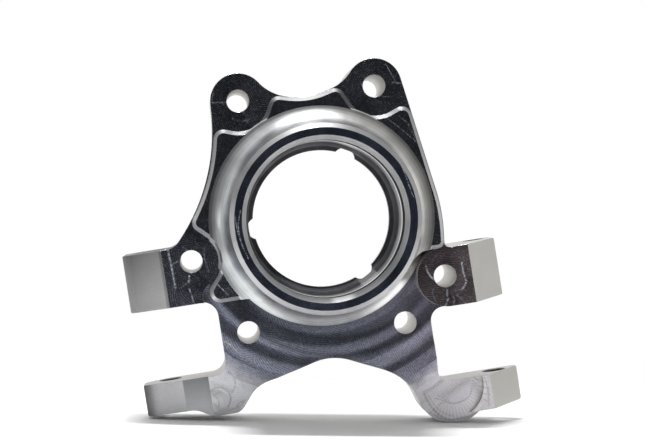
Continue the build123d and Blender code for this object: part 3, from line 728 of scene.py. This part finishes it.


# Forward cut faces: cutter arcs over a dark blue-black base, which paints in their dark reflection
flat_dark = (0.13, 0.14, 0.18)
flat_light = (0.85, 0.88, 1.0)
warm_dark = (0.17, 0.14, 0.155)
warm_light = (0.58, 0.50, 0.54)
brushed = line_pattern((0.1, 1, 1), 0.6)
materials = {
    "side": metal(
        "side_satin", (0.46, 0.45, 0.44), (0.58, 0.57, 0.55), 0.45, line_pattern((1, 0.15, 1), 0.6),
        0.02, cloud=0.2,
    ),
    "island": metal(
        "island_face", flat_dark, flat_light, 0.25, swirl_pattern(9.0, 0.9), 0.02, marks=ISLAND_MARKS,
    ),
    "ears": metal(
        "ear_face", flat_dark, flat_light, 0.28, swirl_pattern(7.0, 1.1), 0.03, marks=EAR_MARKS,
    ),
    "tab_left": metal(
        "left_tab_face", flat_dark, (0.60, 0.63, 0.74), 0.28, swirl_pattern(8.0, 1.2, 24.0), 0.03,
        marks=LEFT_TAB_MARKS,
    ),
    "tab_right": metal(
        "right_tab_face", warm_dark, warm_light, 0.30, swirl_pattern(8.0, 1.2, 24.0), 0.03,
        marks=RIGHT_TAB_MARKS,
        tone=shade_along((1, 0, 0), [(45.0, 0.9), (64.0, 1.0), (70.0, 1.7), (76.0, 1.9)]),
    ),
    # The boss face's dark blue base paints in its dark reflection
    "boss": metal(
        "boss_face", (0.11, 0.14, 0.22), (0.38, 0.42, 0.58), 0.22, ring_pattern(0.5), 0.006,
        marks=BOSS_MARKS,
    ),
    "chamfer": metal(
        "chamfer_bright", (0.44, 0.44, 0.45), (0.60, 0.60, 0.61), 0.46, ring_pattern(0.5), 0.004,
        tone=chamfer_tone,
    ),
    # The step is painted lighter low down and darker towards the top, as painted light and shade
    "bead": metal(
        "step_bright", (0.36, 0.36, 0.37), (0.54, 0.54, 0.54), 0.48, line_pattern((1, 1, 1), 0.8), 0.02,
        tone=shade_along((0, 0, 1), [(-35.0, 1.5), (0.0, 1.35), (30.0, 1.0), (50.0, 0.8), (62.0, 0.7)]),
    ),
    "cove": metal(
        "cove_turned", (0.40, 0.41, 0.42), (0.64, 0.65, 0.66), 0.32, ring_pattern(0.8), 0.01,
        tone=cove_tone,
    ),
    "seat": metal(
        "seat_ground", (0.55, 0.55, 0.57), (0.85, 0.85, 0.87), 0.36, ring_pattern(1.2), 0.01,
        tone=in_turn(seat_tone, notch_highlight_tone), specular=0.0, wear_and_highlight=0.0,
    ),
    "lead": metal(
        "lead_in_bright", (0.85, 0.85, 0.86), (0.97, 0.97, 0.98), 0.45, ring_pattern(0.4), 0.004,
        tone=lead_tone, metallic=0.6, wear_and_highlight=0.2,
    ),
    # The lip's dark base paints in shade and dark reflection
    "lip": metal(
        "lip_dark", (0.18, 0.18, 0.20), (0.30, 0.30, 0.33), 0.38, ring_pattern(0.5), 0.003,
        tone=in_turn(lip_tone, notch_highlight_tone), specular=0.0, wear_and_highlight=0.1,
    ),
    "rear": metal("rear_relief", (0.40, 0.40, 0.40), (0.52, 0.52, 0.52), 0.42, ring_pattern(0.8), 0.02),
    # The web's dark blue-grey base paints in its dark reflection
    "web": metal(
        "web_milled", (0.11, 0.115, 0.155), (0.42, 0.45, 0.55), 0.42, web_pattern, 0.03,
        tone=web_tone, marks=LEG_MARKS, cuts_and_shade=LEG_CUTS_AND_SHADE,
    ),
    # The left tab's front: painted shade at its rounded left end and a little at its right edge, and
    # darker towards the top
    "pad_left": metal(
        "left_tab_front", (0.54, 0.54, 0.54), (0.66, 0.66, 0.66), 0.45, brushed, cloud=0.15, depth=0.01,
        tone=in_turn(
            shade_along(
                (1, 0, 0), [(-112.5, 0.18), (-110.5, 0.45), (-106.0, 0.75), (-91.5, 1.0), (-90.6, 0.6)],
            ),
            shade_along((0, 0, 1), [(-30.0, 1.12), (-16.0, 1.0), (-5.0, 0.75)]),
        ),
    ),
    # The left arm's front: painted shade at its rounded left end
    "arm_outer": metal(
        "left_arm_front", (0.46, 0.46, 0.47), (0.58, 0.58, 0.60), 0.45, brushed, cloud=0.15, depth=0.01,
        tone=shade_along(
            (1, 0, 0), [(-112.0, 0.12), (-110.0, 0.3), (-106.0, 0.85), (-103.0, 1.0), (-90.0, 1.05)],
        ),
    ),
    # The root of the left arm: painted shade darkening it towards the top
    "arm_inner": metal(
        "left_arm_root", (0.50, 0.51, 0.53), (0.60, 0.61, 0.63), 0.50, brushed, cloud=0.15, depth=0.01,
        tone=shade_along((0, 0, 1), [(-95.0, 1.2), (-84.0, 0.8), (-77.0, 0.58)]),
    ),
    "pad_right": metal(
        "right_tab_front", (0.50, 0.49, 0.46), (0.60, 0.59, 0.56), 0.45, brushed, cloud=0.15, depth=0.02,
    ),
    "hole": metal(
        "hole_wall", (0.54, 0.52, 0.49), (0.70, 0.68, 0.64), 0.42, line_pattern((1, 0.2, 1), 0.4), 0.01,
    ),
    # The fork bolt holes' walls are painted dark as shade inside the holes
    "fork_hole": metal(
        "fork_hole_wall", (0.10, 0.10, 0.10), (0.22, 0.22, 0.22), 0.5, line_pattern((1, 0.2, 1), 0.4),
        0.01, metallic=0.5, specular=0.1,
    ),
    # The top of the left tab is painted dark as shade, with a painted glint near its left end
    "tab_top": metal(
        "left_tab_top", (0.07, 0.07, 0.07), (0.11, 0.11, 0.11), 0.5, brushed, 0.01,
        tone=shade_along((1, 0, 0), [(-113.0, 0.7), (-108.0, 2.6), (-104.0, 1.5), (-92.0, 1.0)]),
        metallic=0.0, specular=0.1, wear_and_highlight=0.2,
    ),
    "back": metal(
        "back_face", (0.46, 0.46, 0.47), (0.70, 0.70, 0.71), 0.40, swirl_pattern(16.0, 1.6), 0.01,
        cloud=0.2,
    ),
}
order = list(materials)
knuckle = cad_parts["steering_knuckle"]
mesh = knuckle.data
mesh.materials.clear()
for name in order:
    mesh.materials.append(materials[name])


def near_flange_bolt(x, z):
    """Whether a place lies on the wall of a flange bolt hole."""
    return any(math.hypot(x - bolt_x, z - bolt_z) < FLANGE_BOLT_REACH for bolt_x, bolt_z in FLANGE_BOLTS)


def near_fork_bolt(x, y):
    """Whether a place lies on the wall of a fork bolt hole."""
    return any(math.hypot(x - bolt_x, y - FORK_BOLT_LEVEL) < FORK_BOLT_REACH for bolt_x in FORK_BOLTS)


def bore_finish(y):
    """Finish of the faces inside the bearing bore, by their level."""
    if y < LEAD_IN + CLOSE:
        return "lead"
    if y < SEAT_START + CLOSE:
        return "lip"
    if y < LIP_FACE - CLOSE:
        return "seat"
    if y < LIP_BACK + CLOSE:
        return "lip"
    return "rear"


def finish_of(polygon):
    """Name of the finish of one face, from where it lies and how it faces."""
    x, y, z = (value * 1000 for value in polygon.center)
    normal = polygon.normal
    radius = math.hypot(x, z)
    front = -normal.y
    inward = -(normal.x * x + normal.z * z) / max(radius, 1.0)
    if near_flange_bolt(x, z) and abs(front) < ACROSS:
        return "hole"
    if near_fork_bolt(x, y) and abs(normal.z) < ACROSS:
        return "fork_hole"
    if x < TAB_TOP_EDGE and TAB_TOP_LOW < z < TAB_TOP_HIGH and normal.z > UPWARD and y > SPOT:
        return "tab_top"
    if radius < BORE_EDGE and (inward > 0.2 or BOSS + CLOSE < y < BACK - 0.2):
        return bore_finish(y)
    if front < BACKWARD:
        return "back"
    flat = front > FORWARD
    if flat and y < BOSS + CLOSE:
        return "boss"
    if radius < CHAMFER_EDGE and y < CHAMFER_BACK:
        return "chamfer"
    if flat and abs(y - ISLAND) < CLOSE:
        return "island"
    if flat and abs(y - SPOT) < CLOSE:
        if x < LEFT_TAB_EDGE and z < LEFT_TAB_LEVEL:
            return "tab_left"
        return "tab_right" if x > RIGHT_TAB_EDGE and z < RIGHT_TAB_LEVEL else "ears"
    foot = UPPER_FOOT if y < ISLAND + 0.3 else LOWER_FOOT
    if radius < foot and y < WEB + 0.6 and inward < -0.1:
        return "cove"
    if ISLAND - CLOSE < y < SPOT + CLOSE and 0.3 < front < 0.95:
        return "bead"
    if flat and x < LEFT_ARM_ROOT and abs(y - ARM) < CLOSE:
        return "arm_inner"
    if x < LEFT_PAD_EDGE and front > 0.1:
        return "pad_left" if z > TAB_TO_ARM else "arm_outer"
    if x > RIGHT_PAD_EDGE and 0.2 < front < 0.8 and normal.x > 0.3:
        return "pad_right"
    if y > WEB - 6 and front > 0.3 and z < WEB_TOP:
        return "web"
    return "side"


for polygon in mesh.polygons:
    polygon.material_index = order.index(finish_of(polygon))

# Camera: straight at the boss face, with a roll
roll = math.radians(CAMERA_ROLL)
right = Vector((math.cos(roll), 0.0, -math.sin(roll)))
up = Vector((math.sin(roll), 0.0, math.cos(roll)))
towards = Vector((0.0, -1.0, 0.0))
camera_data = bpy.data.cameras.new("camera")
camera = bpy.data.objects.new("camera", camera_data)
bpy.context.collection.objects.link(camera)
rotation = Matrix((right, up, towards)).transposed()
camera.matrix_world = Matrix.Translation(CAMERA_PLACE) @ rotation.to_4x4()
camera_data.sensor_width = FILM_WIDTH
camera_data.lens = FILM_WIDTH * LENS_PIXELS / IMAGE_WIDTH
camera_data.shift_x = (IMAGE_WIDTH / 2 - AXIS_X) / IMAGE_WIDTH
camera_data.shift_y = (AXIS_Y - IMAGE_HEIGHT / 2) / IMAGE_WIDTH
camera_data.clip_start = 0.01
bpy.context.scene.camera = camera

# Floor under the left arm's front corner and the right leg
bpy.ops.object.select_all(action="DESELECT")
bpy.ops.mesh.primitive_plane_add(size=1.0)
floor = bpy.context.object
floor.name = "floor"
floor_roll = math.radians(FLOOR_ROLL)
floor_up = Vector((math.sin(floor_roll), 0.0, math.cos(floor_roll)))
floor_right = Vector((math.cos(floor_roll), 0.0, -math.sin(floor_roll)))
floor_turn = Matrix((floor_right, Vector((0, 1, 0)), floor_up)).transposed().to_4x4()
floor.matrix_world = (
    Matrix.Translation(FLOOR_PLACE) @ floor_turn @ Matrix.Diagonal((*FLOOR_SIZE, 1.0, 1.0))
)
floor_material = bpy.data.materials.new("floor_white")
floor_material.use_nodes = True
floor_shader = floor_material.node_tree.nodes["Principled BSDF"]
floor_shader.inputs["Base Color"].default_value = (0.92, 0.92, 0.92, 1.0)
floor_shader.inputs["Roughness"].default_value = 0.9
floor_shader.inputs["Specular IOR Level"].default_value = 0.1
floor.data.materials.append(floor_material)

# White surroundings, dimmer at the sides and dark in front of the boss face
world = bpy.data.worlds.new("studio")
bpy.context.scene.world = world
world.use_nodes = True
sky = Shader(world.node_tree)
direction = sky.parts(sky.add("ShaderNodeTexCoord").outputs["Generated"])
room = sky.span(direction["Y"], -0.96, -0.35, 0.05, 1.0)
sideways = sky.span(sky.math("ABSOLUTE", direction["X"]), 0.25, 0.85)
ahead = sky.span(direction["Y"], 0.5, 0.0)
dimmed = sky.math("SUBTRACT", 1.0, sky.math("MULTIPLY", sky.math("MULTIPLY", sideways, ahead), 0.65))
glow = sky.add(
    "ShaderNodeBackground",
    inputs={"Color": (1.0, 1.0, 1.0, 1.0), "Strength": sky.math("MULTIPLY", room, dimmed)},
)
white = sky.add("ShaderNodeBackground", inputs={"Color": (1.0, 1.0, 1.0, 1.0), "Strength": 1.0})
path = sky.add("ShaderNodeLightPath")
mix = sky.add("ShaderNodeMixShader")
world_output = sky.add("ShaderNodeOutputWorld")
world.node_tree.links.new(path.outputs["Is Camera Ray"], mix.inputs["Fac"])
world.node_tree.links.new(glow.outputs["Background"], mix.inputs[1])
world.node_tree.links.new(white.outputs["Background"], mix.inputs[2])
world.node_tree.links.new(mix.outputs["Shader"], world_output.inputs["Surface"])

# Soft lamp high above
lamp_data = bpy.data.lights.new("top_lamp", "AREA")
lamp_data.shape = "RECTANGLE"
lamp_data.size, lamp_data.size_y = LAMP_SIZE
lamp_data.energy = LAMP_POWER
lamp = bpy.data.objects.new("top_lamp", lamp_data)
bpy.context.collection.objects.link(lamp)
lamp_place = floor_up * LAMP_HEIGHT - floor_right * LAMP_LEFT + Vector((0, -LAMP_FORWARD, 0))
lamp.matrix_world = Matrix.Translation(lamp_place) @ floor_turn

# Small lamp to the left that puts a glint in the cove
glint_data = bpy.data.lights.new("left_lamp", "POINT")
glint_data.shadow_soft_size = GLINT_RADIUS
glint_data.energy = GLINT_POWER
glint = bpy.data.objects.new("left_lamp", glint_data)
bpy.context.collection.objects.link(glint)
glint.matrix_world = Matrix.Translation(GLINT_PLACE)

bpy.context.scene.view_settings.view_transform = "Standard"
